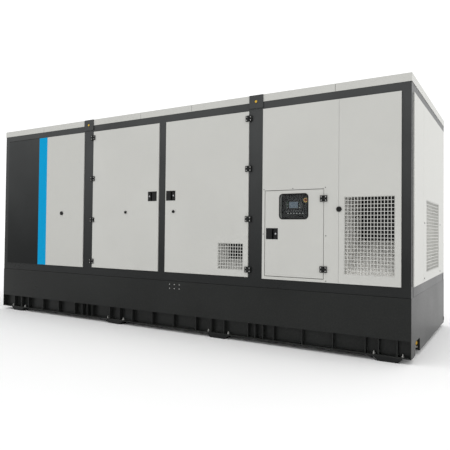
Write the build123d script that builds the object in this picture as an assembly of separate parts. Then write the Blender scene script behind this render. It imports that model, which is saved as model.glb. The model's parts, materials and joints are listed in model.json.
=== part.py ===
from build123d import *
import os

# Canopied diesel generator set on a skid base, in millimetres.
# X runs along the set, with the air inlet end at +X, the service doors face -Y and Z is up.
# The origin is on the ground, under the middle of the base.

# Base frame
base_length = 5860
base_width = 2270
base_height = 558
step_height = 165
step_depth = 62
base_plate = 8
base_edge_radius = 14
rail_flange = 12
rail_inset = 4
rib_inset = 8
rib_thickness = 10
rib_pitch = 319
stretch_ribs = 4
foot_rib_reach = 84
lifting_rib_pitch = 91
shelf_depth = 62
deck_plate = 10
tank_side_gap = 40
foot_height = 45
foot_top_length = 270
foot_bottom_length = 186
foot_depth = 110
foot_right_distance = 210
foot_right_inner = 2062
foot_left_distance = 335
foot_left_inner = 2250

# Canopy frame, from the base upwards
frame_inset = 2
panel_proud = 10
sill_height = 94
opening_height = 1808
head_height = 82
cap_height = 78
cap_proud = 4
cap_plate = 5
cap_seam = 4
frame_front_depth = 40
frame_back_depth = 40
seat_width = 30

# Bays of the long sides, from the inlet end to the radiator end
corner_post_width = 86
corner_post_return = 84
inlet_panel_width = 588
control_bay_width = 832
lifting_post_width = 165
right_door_opening = 1137
mid_post_width = 94
left_door_opening = 1113
panel_seam = 2

# Doors
door_thickness = 45
door_gap = 5
door_skin = 3
control_door_width = 644
control_door_height = 894
control_door_rise = 34
control_door_side = 34
window_width = 310
window_height = 254
window_radius = 34
window_side = 169
window_drop = 41
glass_thickness = 6
gasket_width = 13
gasket_proud = 3

# Hinges: the pin stands clear of the door's face, so that a door folds flat on the next panel
pin_stand_off = 16
pin_radius = 4
knuckle_radius = 8
hinge_height = 62
hinge_leaf = 26
web_gap = 2
hinge_end_distance = 87
control_hinge_distance = 95
leaf_clearance = 3
knuckle_clearance = 0.5
pin_clearance = 0.3
pin_bite = 1
door_hinges = 4

# Paddle latches
latch_width = 136
latch_height = 117
latch_depth = 26
latch_proud = 3
latch_wall = 6
latch_edge = 2
latch_back_gap = 1
paddle_width = 58
paddle_thickness = 5
paddle_lip = 8
paddle_clearance = 1
paddle_swing = 3
well_side = 2
paddle_pin_radius = 3
finger_width = 24
left_latch_side = 26
right_latch_side = 14
control_latch_side = 14
latch_rise = 857
control_latch_rise = 419

# Buffers that keep an open door off the next panel
door_buffer_radius = 17
frame_buffer_radius = 26
buffer_length = 12
buffer_sides = 16
left_buffer_reach = 586
right_buffer_reach = 1004
buffer_rise = 725

# Grilles with square holes: upright bars in front of level ones
grille_pitch_x = 31.3
grille_pitch_z = 35.6
grille_bar = 8
grille_plate = 2
grille_inset = 3
inlet_columns = 15
inlet_rows = 21
inlet_grille_side = 55
inlet_grille_rise = 90
end_columns = 29
end_rows = 21
end_grille_from_corner = 791
door_columns = 10
door_rows = 8
door_grille_side = 64
door_grille_rise = 76
end_narrow_panel = 532

# Lifting plates on the lifting posts
lifting_plate = 10
lifting_plate_drop = 18

# Discharge grille in the roof over the radiator bay
discharge_side = 110
discharge_width = 1500
discharge_slats = 16
slat_thickness = 6

# Roof panels: three from the inlet end, one at the radiator end, and one that takes what is left
roof_panel_lengths = (722, 1723, 771)
discharge_panel_length = 854

# Engine
engine_x0 = -1060
engine_clearance = 40
crank_height = 560
block_length = 1450
block_width = 620
bank_spread = 980
bank_rise = 150
block_top = 620
head_width = 230
vee_width = 260
sump_width = 440
sump_drop = 180
cylinders_a_bank = 6
cylinder_pitch = 225
rocker_cover_length = 190
rocker_cover_height = 60
rocker_cover_start = 0.15
rocker_cover_end = 0.85
filter_radius = 150
filter_length = 420
filter_spread = 260
round_sides = 32
pipe_sides = 12

# Alternator and mounts
alternator_radius = 400
alternator_length = 900
terminal_box_height = 180
terminal_box_width = 480
terminal_box_length = 450
alternator_foot_width = 720
alternator_foot_length = 540
alternator_foot_height = 280
mount_length = 120
mount_width = 130
engine_mount_spread = 132
alternator_mount_spread = 260

# Radiator, fan and exhaust
radiator_face_x = -1300
radiator_thickness = 260
radiator_width = 1700
radiator_height = 1650
fan_radius = 620
shroud_depth = 90
shroud_plate = 4
fan_gap = 24
fan_hub_radius = 120
fan_shaft_radius = 45
fan_blades = 8
fan_blade_width = 150
fan_blade_thickness = 8
fan_blade_twist = 25
silencer_distance = 700
silencer_rise = 1350
silencer_radius = 240
silencer_length = 1500
cradle_width = 336
cradle_length = 1200
exhaust_radius = 80
exhaust_x = -900
exhaust_level = 1790
exhaust_offset = 40

# Control cabinet and the lining behind the inlet
cabinet_depth = 340
cabinet_side = 30
cabinet_rise = 120
cabinet_gap = 12
baffle_depth = 520
baffle_side = 40
baffle_plate = 4
baffle_climb = 330

# Drain valve in its recess at the foot of the inlet end
drain_from_corner = 330
drain_recess_width = 250
drain_recess_height = 128
drain_recess_radius = 40
pocket_depth = 116
valve_offset = 90
valve_radius = 16
nozzle_radius = 11
nozzle_length = 38
nozzle_inset = 22
valve_rise = 77
stem_distance = 61
stem_radius = 6
stem_height = 32
lever_length = 64
lever_width = 18
lever_thickness = 5
cable_hole_distance = 36
cable_hole_rise = 55
cable_hole_radius = 24

# How far a cutting shape reaches past the face it cuts
cut_past = 1

# Levels
ground = 0
skid = ground + foot_height
step = skid + step_height
base_top = skid + base_height
sill = base_top + sill_height
head = sill + opening_height
cap = head + head_height
roof = cap + cap_height

# Planes of the long side, given for the front and mirrored for the rear
skirt_y = -base_width / 2
frame_y = skirt_y + frame_inset
panel_y = frame_y - panel_proud
seat_y = frame_y + frame_front_depth
inner_y = seat_y + frame_back_depth
pin_y = panel_y - pin_stand_off

# Planes of the inlet end, mirrored for the radiator end
skirt_x = base_length / 2
frame_x = skirt_x - frame_inset
panel_x = frame_x + panel_proud
seat_x = frame_x - frame_front_depth
inner_x = seat_x - frame_back_depth

# Bay limits along the long side
inlet_x1 = frame_x - corner_post_width
inlet_x0 = inlet_x1 - inlet_panel_width
control_x1 = inlet_x0
control_x0 = control_x1 - control_bay_width
lift_right_x1 = control_x0
lift_right_x0 = lift_right_x1 - lifting_post_width
right_x1 = lift_right_x0
right_x0 = right_x1 - right_door_opening
mid_x1 = right_x0
mid_x0 = mid_x1 - mid_post_width
left_x1 = mid_x0
left_x0 = left_x1 - left_door_opening
lift_left_x1 = left_x0
lift_left_x0 = lift_left_x1 - lifting_post_width
radiator_x1 = lift_left_x0
radiator_x0 = -frame_x + corner_post_width

# Hinge pins
left_pin_x = left_x0 + door_gap / 2
right_pin_x = right_x1 - door_gap / 2
control_door_x0 = control_x0 + control_door_side
control_door_x1 = control_door_x0 + control_door_width
control_door_z0 = sill + control_door_rise
control_door_z1 = control_door_z0 + control_door_height
control_pin_x = control_door_x1 + door_gap / 2


def block(x, y, z):
    """A rectangular solid between a low and a high limit on each axis."""
    low = Align.MIN
    size = [limits[1] - limits[0] for limits in (x, y, z)]
    return Pos(x[0], y[0], z[0]) * Box(*size, align=(low, low, low))


def rod(radius, start, end):
    """A round solid from one point to another."""
    start, end = Vector(*start), Vector(*end)
    line = end - start
    plane = Plane(origin=start, z_dir=line)
    return extrude(plane * Circle(radius), line.length)


def bar(radius, start, end, sides=8):
    """A bar of few sides from one point to another."""
    start, end = Vector(*start), Vector(*end)
    line = end - start
    plane = Plane(origin=start, z_dir=line)
    return extrude(plane * RegularPolygon(radius, sides), line.length)


def prism(points, x):
    """A solid with an outline in the YZ plane, between two limits on X."""
    outline = make_face(Polyline([(0, y, z) for y, z in points], close=True))
    return Pos(x[0], 0, 0) * extrude(outline, x[1] - x[0], dir=(1, 0, 0))


def rear(shape):
    """The same shape on the rear long side."""
    return mirror(shape, about=Plane.XZ)


def far_end(shape):
    """The same shape at the radiator end."""
    return mirror(shape, about=Plane.YZ)


def both_sides(shapes):
    return shapes + [rear(shape) for shape in shapes]


def all_corners(shape):
    pair = [shape, far_end(shape)]
    return both_sides(pair)


# Base frame


def foot_positions():
    """The middles of the feet along the base, two given from each end."""
    left = (foot_left_distance - skirt_x, foot_left_inner - skirt_x)
    return left + (skirt_x - foot_right_inner, skirt_x - foot_right_distance)


def rib_positions():
    """Two ribs over each foot, three under each lifting post and some in the long stretches."""
    feet = foot_positions()
    lifts = [(lift_left_x0 + lift_left_x1) / 2, (lift_right_x0 + lift_right_x1) / 2]
    ribs = []
    for x in feet:
        ribs += [x - foot_rib_reach, x + foot_rib_reach]
    for x in lifts:
        ribs += [x - lifting_rib_pitch, x, x + lifting_rib_pitch]
    stretches = (
        (feet[0] + foot_rib_reach, lifts[0] - lifting_rib_pitch),
        (feet[1] + foot_rib_reach, feet[2] - foot_rib_reach),
        (lifts[1] + lifting_rib_pitch, feet[3] - foot_rib_reach),
    )
    for start, end in stretches:
        count = min(stretch_ribs, 1 + int((end - start) / rib_pitch))
        first = (start + end - rib_pitch * (count - 1)) / 2
        ribs += [first + index * rib_pitch for index in range(count)]
    return ribs


def base_rail():
    """The recessed lower beam of a long side, with its stiffening ribs."""
    reach = skirt_x - base_plate
    web_y = skirt_y + step_depth
    web = block((-reach, reach), (web_y, web_y + base_plate), (skid, step))
    flange = block((-reach, reach), (skirt_y + rail_inset, web_y), (skid, skid + rail_flange))
    rail = web + flange
    for x in rib_positions():
        limits = (x - rib_thickness / 2, x + rib_thickness / 2)
        rail += block(limits, (skirt_y + rib_inset, web_y), (skid + rail_flange, step))
    return rail


def base_skirt():
    """The smooth folded plate above the rail, rounded at its top edge."""
    reach = skirt_x - base_plate
    deep = skirt_y + step_depth + base_plate
    outer = block((-reach, reach), (skirt_y, deep), (step, base_top))
    edge = outer.edges().filter_by(Axis.X).sort_by(Axis.Z)[-2:].sort_by(Axis.Y)[0]
    outer = fillet(edge, base_edge_radius)
    inner = block(
        (-reach, reach),
        (skirt_y + base_plate, deep),
        (step + base_plate, base_top - base_plate),
    )
    return outer - inner


def base_end():
    """The full height end plate, with returns that close the corners."""
    side = -skirt_y
    plate = block((skirt_x - base_plate, skirt_x), (-side, side), (skid, base_top))
    top = plate.edges().filter_by(Axis.Y).sort_by(Axis.Z)[-2:].sort_by(Axis.X)[-1]
    plate = chamfer(top, base_plate / 2)
    shelf = block(
        (skirt_x - shelf_depth, skirt_x - base_plate),
        (-side + step_depth + base_plate, side - step_depth - base_plate),
        (base_top - base_plate, base_top),
    )
    return plate + shelf


def drain_recess():
    """The notch with rounded upper corners at the foot of the inlet end plate."""
    middle = skirt_y + drain_from_corner
    half = drain_recess_width / 2
    notch = block(
        (skirt_x - 2 * base_plate, skirt_x + base_plate),
        (middle - half, middle + half),
        (skid - base_plate, skid + drain_recess_height),
    )
    edges = notch.edges().filter_by(Axis.X).sort_by(Axis.Z)[-2:]
    return fillet(edges, drain_recess_radius)


def drain_pocket():
    """The shallow box behind the notch, which holds the valve."""
    middle = skirt_y + drain_from_corner
    half = drain_recess_width / 2
    x0, x1 = skirt_x - base_plate - pocket_depth, skirt_x - base_plate
    top = skid + drain_recess_height
    outer = block(
        (x0 - base_plate, x1),
        (middle - half - base_plate, middle + half + base_plate),
        (skid, top + base_plate),
    )
    inner = block((x0, x1), (middle - half, middle + half), (skid, top))
    return outer - inner


def cable_hole():
    """The round hole for a cable near the far lower corner of the inlet end plate."""
    y, z = -skirt_y - cable_hole_distance, skid + cable_hole_rise
    return rod(cable_hole_radius, (skirt_x - 2 * base_plate, y, z), (skirt_x + base_plate, y, z))


def drain_valve():
    """A ball valve with a hose nozzle and a lever, towards the far side of the recess."""
    middle = skirt_y + drain_from_corner + valve_offset
    back = skirt_x - base_plate - pocket_depth
    height = skid + valve_rise
    face = skirt_x - nozzle_inset
    body = bar(valve_radius, (back, middle, height), (face - nozzle_length, middle, height))
    nozzle = bar(nozzle_radius, (face - nozzle_length, middle, height), (face, middle, height))
    stem_x = face - stem_distance
    top = height + stem_height
    stem = bar(stem_radius, (stem_x, middle, height), (stem_x, middle, top))
    lever = block(
        (stem_x - nozzle_radius, stem_x + lever_length),
        (middle - lever_width / 2, middle + lever_width / 2),
        (top, top + lever_thickness),
    )
    return body + nozzle + stem + lever


def base_deck():
    """The floor plate that carries the machinery."""
    side = -skirt_y - step_depth - base_plate
    reach = skirt_x - shelf_depth
    return block((-reach, reach), (-side, side), (base_top - deck_plate, base_top))


def fuel_tank():
    side = -skirt_y - step_depth - base_plate - tank_side_gap
    reach = skirt_x - pocket_depth - 2 * base_plate - tank_side_gap
    return block((-reach, reach), (-side, side), (skid + rail_flange, base_top - deck_plate))


def skid_feet():
    """Tapered steel feet under both beams."""
    feet = []
    for x in foot_positions():
        top, bottom = foot_top_length / 2, foot_bottom_length / 2
        points = [(x - top, skid), (x + top, skid), (x + bottom, ground), (x - bottom, ground)]
        face = make_face(Polyline([(px, 0, pz) for px, pz in points], close=True))
        foot = extrude(face, foot_depth, dir=(0, 1, 0))
        feet.append(Pos(0, skirt_y + rail_inset, 0) * foot)
    return both_sides(feet)


# Canopy frame


def post(x0, x1):
    """A post with a wider back, which the panels seat against."""
    front = block((x0, x1), (frame_y, seat_y), (base_top, cap))
    back = block((x0 - seat_width, x1 + seat_width), (seat_y, inner_y), (base_top, cap))
    return front + back


def corner_post():
    x0, y1 = frame_x - corner_post_width, frame_y + corner_post_return
    core = block((x0, frame_x), (frame_y, y1), (base_top, cap))
    side_seat = block((x0 - seat_width, x0), (seat_y, inner_y), (base_top, cap))
    end_seat = block((inner_x, seat_x), (y1, y1 + seat_width), (base_top, cap))
    return core + side_seat + end_seat


def side_rail(x0, x1, z0, z1, lip):
    """A rail between two posts, with a lip behind the panels above or below it."""
    front = block((x0, x1), (frame_y, seat_y), (z0, z1))
    low, high = (z0, z1 + seat_width) if lip > 0 else (z0 - seat_width, z1)
    back = block((x0 + seat_width, x1 - seat_width), (seat_y, inner_y), (low, high))
    return front + back


def side_rails(z0, z1, lip):
    bays = [
        (radiator_x0, radiator_x1),
        (left_x0, left_x1),
        (right_x0, right_x1),
        (control_x0, inlet_x1),
    ]
    return both_sides([side_rail(x0, x1, z0, z1, lip) for x0, x1 in bays])


def end_rail(z0, z1, lip):
    side = -frame_y - corner_post_return
    front = block((seat_x, frame_x), (-side, side), (z0, z1))
    low, high = (z0, z1 + seat_width) if lip > 0 else (z0 - seat_width, z1)
    back = block((inner_x, seat_x), (seat_width - side, side - seat_width), (low, high))
    return front + back


def end_rails(z0, z1, lip):
    rail = end_rail(z0, z1, lip)
    return [rail, far_end(rail)]


def lifting_plates():
    """Thick plates over the roof edge at the lifting posts."""
    plates = []
    for x0, x1 in ((lift_left_x0, lift_left_x1), (lift_right_x0, lift_right_x1)):
        y0 = frame_y - cap_proud - lifting_plate
        plate = block((x0, x1), (y0, y0 + lifting_plate), (head + lifting_plate_drop, roof))
        plates.append(plate)
    return both_sides(plates)


# Panels and grilles


def panel(x0, x1, z0=None, z1=None):
    """A fixed side panel that seats against the frame."""
    gap = panel_seam / 2
    z = (sill if z0 is None else z0, head if z1 is None else z1)
    return block((x0 + gap, x1 - gap), (panel_y, seat_y), z)


def end_panel(y0, y1):
    gap = panel_seam / 2
    return block((seat_x, panel_x), (y0 + gap, y1 - gap), (sill, head))


def grille_size(columns, rows):
    """Width and height of a field of square holes with a bar all round."""
    return columns * grille_pitch_x + grille_bar, rows * grille_pitch_z + grille_bar


def bars(width, height, count, pitch, upright):
    """A plate with long slots that leave bars, lying in the XZ plane with a corner at the origin."""
    plate = block((0, width), (0, grille_plate), (0, height))
    slots = []
    for index in range(count):
        start = grille_bar + index * pitch
        across = (start, start + pitch - grille_bar)
        along = (grille_bar, (height if upright else width) - grille_bar)
        x, z = (across, along) if upright else (along, across)
        slots.append(block(x, (-cut_past, grille_plate + cut_past), z))
    return plate - slots


def level_bars(columns, rows):
    return bars(*grille_size(columns, rows), rows, grille_pitch_z, False)


def grille(columns, rows):
    """Two layers of bars that cross, with a square hole between every four."""
    upright_bars = bars(*grille_size(columns, rows), columns, grille_pitch_x, True)
    return [upright_bars, Pos(0, grille_plate, 0) * level_bars(columns, rows)]


inlet_size = grille_size(inlet_columns, inlet_rows)
inlet_grille_x1 = inlet_x1 - inlet_grille_side
inlet_grille_x0 = inlet_grille_x1 - inlet_size[0]
inlet_grille_z0 = sill + inlet_grille_rise
inlet_grille_z1 = inlet_grille_z0 + inlet_size[1]

end_size = grille_size(end_columns, end_rows)
end_grille_y0 = frame_y + end_grille_from_corner
end_grille_y1 = end_grille_y0 + end_size[0]
end_grille_z1 = inlet_grille_z0 + end_size[1]

door_grille_size = grille_size(door_columns, door_rows)
door_grille_x1 = right_x1 - door_grille_side
door_grille_x0 = door_grille_x1 - door_grille_size[0]
door_grille_z0 = sill + door_grille_rise
door_grille_z1 = door_grille_z0 + door_grille_size[1]


def inlet_panel():
    """The side panel at the inlet end, open behind its grille."""
    whole = panel(inlet_x0, inlet_x1)
    opening = block(
        (inlet_grille_x0, inlet_grille_x1),
        (panel_y - cut_past, seat_y + cut_past),
        (inlet_grille_z0, inlet_grille_z1),
    )
    return whole - opening


def inlet_grille():
    place = Pos(inlet_grille_x0, panel_y + grille_inset, inlet_grille_z0)
    return [place * layer for layer in grille(inlet_columns, inlet_rows)]


def end_panels():
    """A narrow and a wide panel, the wide one open behind its grille."""
    y0, y1 = frame_y + corner_post_return, -frame_y - corner_post_return
    middle = y0 + end_narrow_panel
    opening = block(
        (seat_x - cut_past, panel_x + cut_past),
        (end_grille_y0, end_grille_y1),
        (inlet_grille_z0, end_grille_z1),
    )
    return [end_panel(y0, middle), end_panel(middle, y1) - opening]


def plain_end_panels():
    y0, y1 = frame_y + corner_post_return, -frame_y - corner_post_return
    middle = y0 + end_narrow_panel
    return [far_end(end_panel(y0, middle)), far_end(end_panel(middle, y1))]


def end_grille():
    place = Pos(panel_x - grille_inset, end_grille_y0, inlet_grille_z0) * Rot(0, 0, 90)
    return [place * layer for layer in grille(end_columns, end_rows)]


def control_bay_panel():
    """The fixed panel round the control door."""
    whole = panel(control_x0, control_x1)
    hole = block(
        (control_door_x0 - door_gap, control_door_x1 + door_gap),
        (panel_y - cut_past, seat_y + cut_past),
        (control_door_z0 - door_gap, control_door_z1 + door_gap),
    )
    return whole - hole


# Doors, hinges and latches


def door_slab(x0, x1, z0, z1):
    """A folded door with rounded outer edges."""
    slab = block((x0, x1), (panel_y, panel_y + door_thickness), (z0, z1))
    front = slab.faces().sort_by(Axis.Y)[0].edges()
    return chamfer(front, door_skin)


def latch_pocket(x0, z0):
    return block(
        (x0 + latch_wall / 2, x0 + latch_width - latch_wall / 2),
        (panel_y - cut_past, panel_y + latch_depth),
        (z0 + latch_wall / 2, z0 + latch_height - latch_wall / 2),
    )


latch_z0 = sill + latch_rise
left_latch_x0 = left_x1 - door_gap - left_latch_side - latch_width
right_latch_x0 = right_x0 + door_gap + right_latch_side
control_latch_x0 = control_door_x0 + control_latch_side
control_latch_z0 = sill + control_latch_rise


def door_left():
    slab = door_slab(left_x0 + door_gap, left_x1 - door_gap, sill + door_gap, head - door_gap)
    return slab - latch_pocket(left_latch_x0, latch_z0)


def door_right():
    slab = door_slab(right_x0 + door_gap, right_x1 - door_gap, sill + door_gap, head - door_gap)
    opening = block(
        (door_grille_x0, door_grille_x1),
        (panel_y - cut_past, seat_y + cut_past),
        (door_grille_z0, door_grille_z1),
    )
    return slab - latch_pocket(right_latch_x0, latch_z0) - opening


def door_right_grille():
    place = Pos(door_grille_x0, panel_y + grille_inset, door_grille_z0)
    return [place * layer for layer in grille(door_columns, door_rows)]


window_x0 = control_door_x0 + window_side
window_x1 = window_x0 + window_width
window_z1 = control_door_z1 - window_drop
window_z0 = window_z1 - window_height


def window_block(grow, y0, y1):
    """The rounded outline of the window, larger or smaller by grow all round."""
    shape = block(
        (window_x0 - grow, window_x1 + grow),
        (y0, y1),
        (window_z0 - grow, window_z1 + grow),
    )
    return fillet(shape.edges().filter_by(Axis.Y), window_radius + grow)


def control_door():
    slab = door_slab(control_door_x0, control_door_x1, control_door_z0, control_door_z1)
    hole = window_block(0, panel_y - cut_past, seat_y + cut_past)
    return slab - hole - latch_pocket(control_latch_x0, control_latch_z0)


def control_window():
    return window_block(0, panel_y, panel_y + glass_thickness)


def window_gasket():
    """The rubber strip round the glass, on the door's face."""
    ring = window_block(gasket_width / 2, panel_y - gasket_proud, panel_y)
    return ring - window_block(-gasket_width / 2, panel_y - gasket_proud - cut_past, seat_y)


def hinge_leaf_block(side, z0, z1, back):
    """A leaf beside the pin at the origin, on the side given by its sign."""
    x0 = knuckle_radius + web_gap
    x1 = x0 + hinge_leaf
    leaf = block((x0, x1), (leaf_clearance, back), (z0, z1))
    return leaf if side > 0 else mirror(leaf, about=Plane.YZ)


def knuckle(side, z0, z1):
    """A part of the barrel, with the web that joins it to its leaf."""
    web = block((0, knuckle_radius + web_gap), (leaf_clearance, knuckle_radius), (z0, z1))
    web = web if side > 0 else mirror(web, about=Plane.YZ)
    return web + bar(knuckle_radius, (0, 0, z0), (0, 0, z1))


def frame_leaf(side, back):
    """The fixed half of a hinge: a leaf, two knuckles and the pin."""
    half, third = hinge_height / 2, hinge_height / 6
    shape = hinge_leaf_block(side, -half, half, back)
    shape += knuckle(side, third + knuckle_clearance, half)
    shape += knuckle(side, -half, -third - knuckle_clearance)
    return shape + rod(pin_radius, (0, 0, -third - pin_bite), (0, 0, third + pin_bite))


def closed_hinge(side):
    """Both halves of a hinge as one solid, for the rear side, where nothing opens."""
    half = hinge_height / 2
    on_post = hinge_leaf_block(-side, -half, half, post_leaf_back)
    on_door = hinge_leaf_block(side, -half, half, pin_stand_off)
    return on_post + on_door + knuckle(side, -half, half) + knuckle(-side, -half, half)


def door_leaf(side):
    """The moving half of a hinge: a leaf and the middle knuckle."""
    half, third = hinge_height / 2, hinge_height / 6
    shape = hinge_leaf_block(side, -half, half, pin_stand_off)
    shape += knuckle(side, -third, third)
    return shape - rod(pin_radius + pin_clearance, (0, 0, -half), (0, 0, half))


def hinge_levels(z0, z1, distance, count):
    step_up = (z1 - z0 - 2 * distance) / (count - 1)
    return [z0 + distance + index * step_up for index in range(count)]


door_levels = hinge_levels(sill, head, hinge_end_distance, door_hinges)
control_levels = hinge_levels(control_door_z0, control_door_z1, control_hinge_distance, 2)
post_leaf_back = pin_stand_off + panel_proud


def left_frame_leaves():
    return [Pos(left_pin_x, pin_y, z) * frame_leaf(-1, post_leaf_back) for z in door_levels]


def right_frame_leaves():
    return [Pos(right_pin_x, pin_y, z) * frame_leaf(1, post_leaf_back) for z in door_levels]


def control_frame_leaves():
    return [Pos(control_pin_x, pin_y, z) * frame_leaf(1, pin_stand_off) for z in control_levels]


def frame_leaves():
    return left_frame_leaves() + right_frame_leaves() + control_frame_leaves()


def left_door_leaves():
    return [Pos(left_pin_x, pin_y, z) * door_leaf(1) for z in door_levels]


def right_door_leaves():
    return [Pos(right_pin_x, pin_y, z) * door_leaf(-1) for z in door_levels]


def control_door_leaves():
    return [Pos(control_pin_x, pin_y, z) * door_leaf(-1) for z in control_levels]


well_x1 = latch_width - latch_wall - well_side
paddle_x1 = well_x1 - paddle_swing
paddle_x0 = paddle_x1 - paddle_width
well_x0 = paddle_x0 - finger_width
paddle_pin_x = paddle_x1 - paddle_thickness


def latch_housing(paddle_side):
    """A latch tray with its lower left front corner at the origin.

    The tray holds a lock plate, a finger well and the well of the paddle, which lies on the
    side given by the sign.
    """
    flange = block((0, latch_width), (-latch_proud, 0), (0, latch_height))
    flange = chamfer(flange.faces().sort_by(Axis.Y)[0].edges(), latch_edge)
    inset = latch_wall / 2 + pin_clearance
    body = block(
        (inset, latch_width - inset),
        (0, latch_depth - latch_back_gap),
        (inset, latch_height - inset),
    )
    well = block(
        (well_x0, well_x1),
        (-latch_proud - cut_past, latch_depth - latch_wall),
        (latch_wall, latch_height - latch_wall),
    )
    shape = flange + body - well
    if paddle_side < 0:
        shape = Pos(latch_width, 0, 0) * mirror(shape, about=Plane.YZ)
    return shape


def paddle(paddle_side):
    """The pull plate of a latch with its pin, in the same place as its housing."""
    z = (latch_wall + paddle_clearance, latch_height - latch_wall - paddle_clearance)
    plate = block((paddle_x0, paddle_x1), (-latch_proud, paddle_thickness - latch_proud), z)
    lip = block((paddle_x0, paddle_x0 + paddle_thickness), (-latch_proud, paddle_lip), z)
    pin_y0 = paddle_thickness - latch_proud
    reach = latch_wall + pin_clearance
    pin = bar(
        paddle_pin_radius,
        (paddle_pin_x, pin_y0, reach),
        (paddle_pin_x, pin_y0, latch_height - reach),
    )
    shape = plate + lip + pin
    if paddle_side < 0:
        shape = Pos(latch_width, 0, 0) * mirror(shape, about=Plane.YZ)
    return shape


def buffer(x, radius):
    z = sill + buffer_rise
    return bar(radius, (x, panel_y, z), (x, panel_y - buffer_length, z), buffer_sides)


def frame_buffers():
    """The wider buffers on the fixed panels, which meet those on the folded doors."""
    left = buffer(left_pin_x - left_buffer_reach, frame_buffer_radius)
    right = buffer(right_pin_x + right_buffer_reach, frame_buffer_radius)
    return [left, right]


# Rear side: the same bays, closed


def rear_panels():
    """The fixed panels of the rear side, plain where the front has its control door."""
    front = [panel(radiator_x0, radiator_x1), panel(control_x0, control_x1), inlet_panel()]
    return [rear(shape) for shape in front]


def rear_grilles():
    """The two grilles of the rear side, as level bars."""
    low = Pos(door_grille_x0, panel_y + grille_inset, door_grille_z0)
    high = Pos(inlet_grille_x0, panel_y + grille_inset, inlet_grille_z0)
    low_plate = low * level_bars(door_columns, door_rows)
    high_plate = high * level_bars(inlet_columns, inlet_rows)
    return [rear(low_plate), rear(high_plate)]


def rear_fittings():
    """The hinges, latches and buffers of the rear side, which repeats the front."""
    left = Pos(left_latch_x0, panel_y, latch_z0) * (latch_housing(1) + paddle(1))
    right = Pos(right_latch_x0, panel_y, latch_z0) * (latch_housing(-1) + paddle(-1))
    hinges = [Pos(left_pin_x, pin_y, z) * closed_hinge(1) for z in door_levels]
    hinges += [Pos(right_pin_x, pin_y, z) * closed_hinge(-1) for z in door_levels]
    return [rear(shape) for shape in hinges + frame_buffers() + [left, right]]


# Roof


def roof_tray(x0, x1):
    """An inverted tray of folded sheet, one of the roof's panels."""
    side = -frame_y + cap_proud
    outer = block((x0, x1), (-side, side), (cap, roof))
    inner = block(
        (x0 + cap_plate, x1 - cap_plate),
        (cap_plate - side, side - cap_plate),
        (cap - cut_past, roof - cap_plate),
    )
    return outer - inner


def roof_panels():
    """The roof's panels in a row, the last one open for the radiator's air."""
    panels = []
    end = frame_x + cap_proud
    x1 = end
    for length in roof_panel_lengths:
        panels.append(roof_tray(x1 - length + cap_seam, x1))
        x1 -= length
    last_x1 = discharge_panel_length - end
    panels.append(roof_tray(last_x1 + cap_seam, x1))
    opening = block(
        (discharge_x0, discharge_x1),
        (-discharge_width / 2, discharge_width / 2),
        (roof - 2 * cap_plate, roof + cut_past),
    )
    return panels + [roof_tray(-end, last_x1) - opening]


discharge_x0 = -frame_x + discharge_side
discharge_x1 = discharge_panel_length - frame_x - discharge_side


def roof_discharge_grille():
    """Level slats in an edge, set into the opening of the last roof panel."""
    half = discharge_width / 2
    rim = block((discharge_x0, discharge_x1), (-half, half), (cap + cap_plate, roof - cap_plate / 2))
    pitch = discharge_width / discharge_slats
    slots = []
    for index in range(discharge_slats):
        y0 = -half + slat_thickness + index * pitch
        y1 = y0 + pitch - slat_thickness
        x = (discharge_x0 + slat_thickness, discharge_x1 - slat_thickness)
        slots.append(block(x, (y0, min(y1, half - slat_thickness)), (cap, roof)))
    return rim - slots


# Machinery


crank = base_top + crank_height
engine_x1 = engine_x0 + block_length
fan_z = base_top + radiator_height / 2
silencer_x = radiator_x0 + silencer_distance
silencer_z = base_top + silencer_rise


def engine_block():
    """The outline of a vee engine from sump to cylinder heads, in one length."""
    half, bank = block_width / 2, bank_spread / 2
    outline = [
        (-sump_width / 2, base_top + engine_clearance),
        (sump_width / 2, base_top + engine_clearance),
        (sump_width / 2, crank - sump_drop),
        (half, crank - sump_drop),
        (half, crank + bank_rise),
        (bank, crank + bank_rise * 2),
        (bank - head_width, crank + block_top),
        (vee_width / 2, crank + block_top - head_width),
        (-vee_width / 2, crank + block_top - head_width),
        (head_width - bank, crank + block_top),
        (-bank, crank + bank_rise * 2),
        (-half, crank + bank_rise),
        (-half, crank - sump_drop),
        (-sump_width / 2, crank - sump_drop),
    ]
    return prism(outline, (engine_x0, engine_x1))


def rocker_cover(x):
    """One cover on the sloped top of a cylinder head."""
    low = Vector(bank_spread / 2, crank + bank_rise * 2, 0)
    slope = Vector(bank_spread / 2 - head_width, crank + block_top, 0) - low
    outward = Vector(slope.Y, -slope.X, 0).normalized() * rocker_cover_height
    start, end = low + slope * rocker_cover_start, low + slope * rocker_cover_end
    corners = [start, end, end + outward, start + outward]
    return prism([(corner.X, corner.Y) for corner in corners], (x, x + rocker_cover_length))


def rocker_covers():
    covers = []
    margin = (block_length - cylinders_a_bank * cylinder_pitch) / 2
    for index in range(cylinders_a_bank):
        covers.append(rocker_cover(engine_x0 + margin + index * cylinder_pitch))
    return both_sides(covers)


def air_filters():
    """Two round filters side by side over the end of the engine."""
    x0, x1 = engine_x1 - filter_length, engine_x1
    z = crank + block_top + filter_radius
    filters = []
    for y in (-filter_spread, filter_spread):
        filters.append(bar(filter_radius, (x0, y, z), (x1, y, z), round_sides // 2))
    return filters


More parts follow.
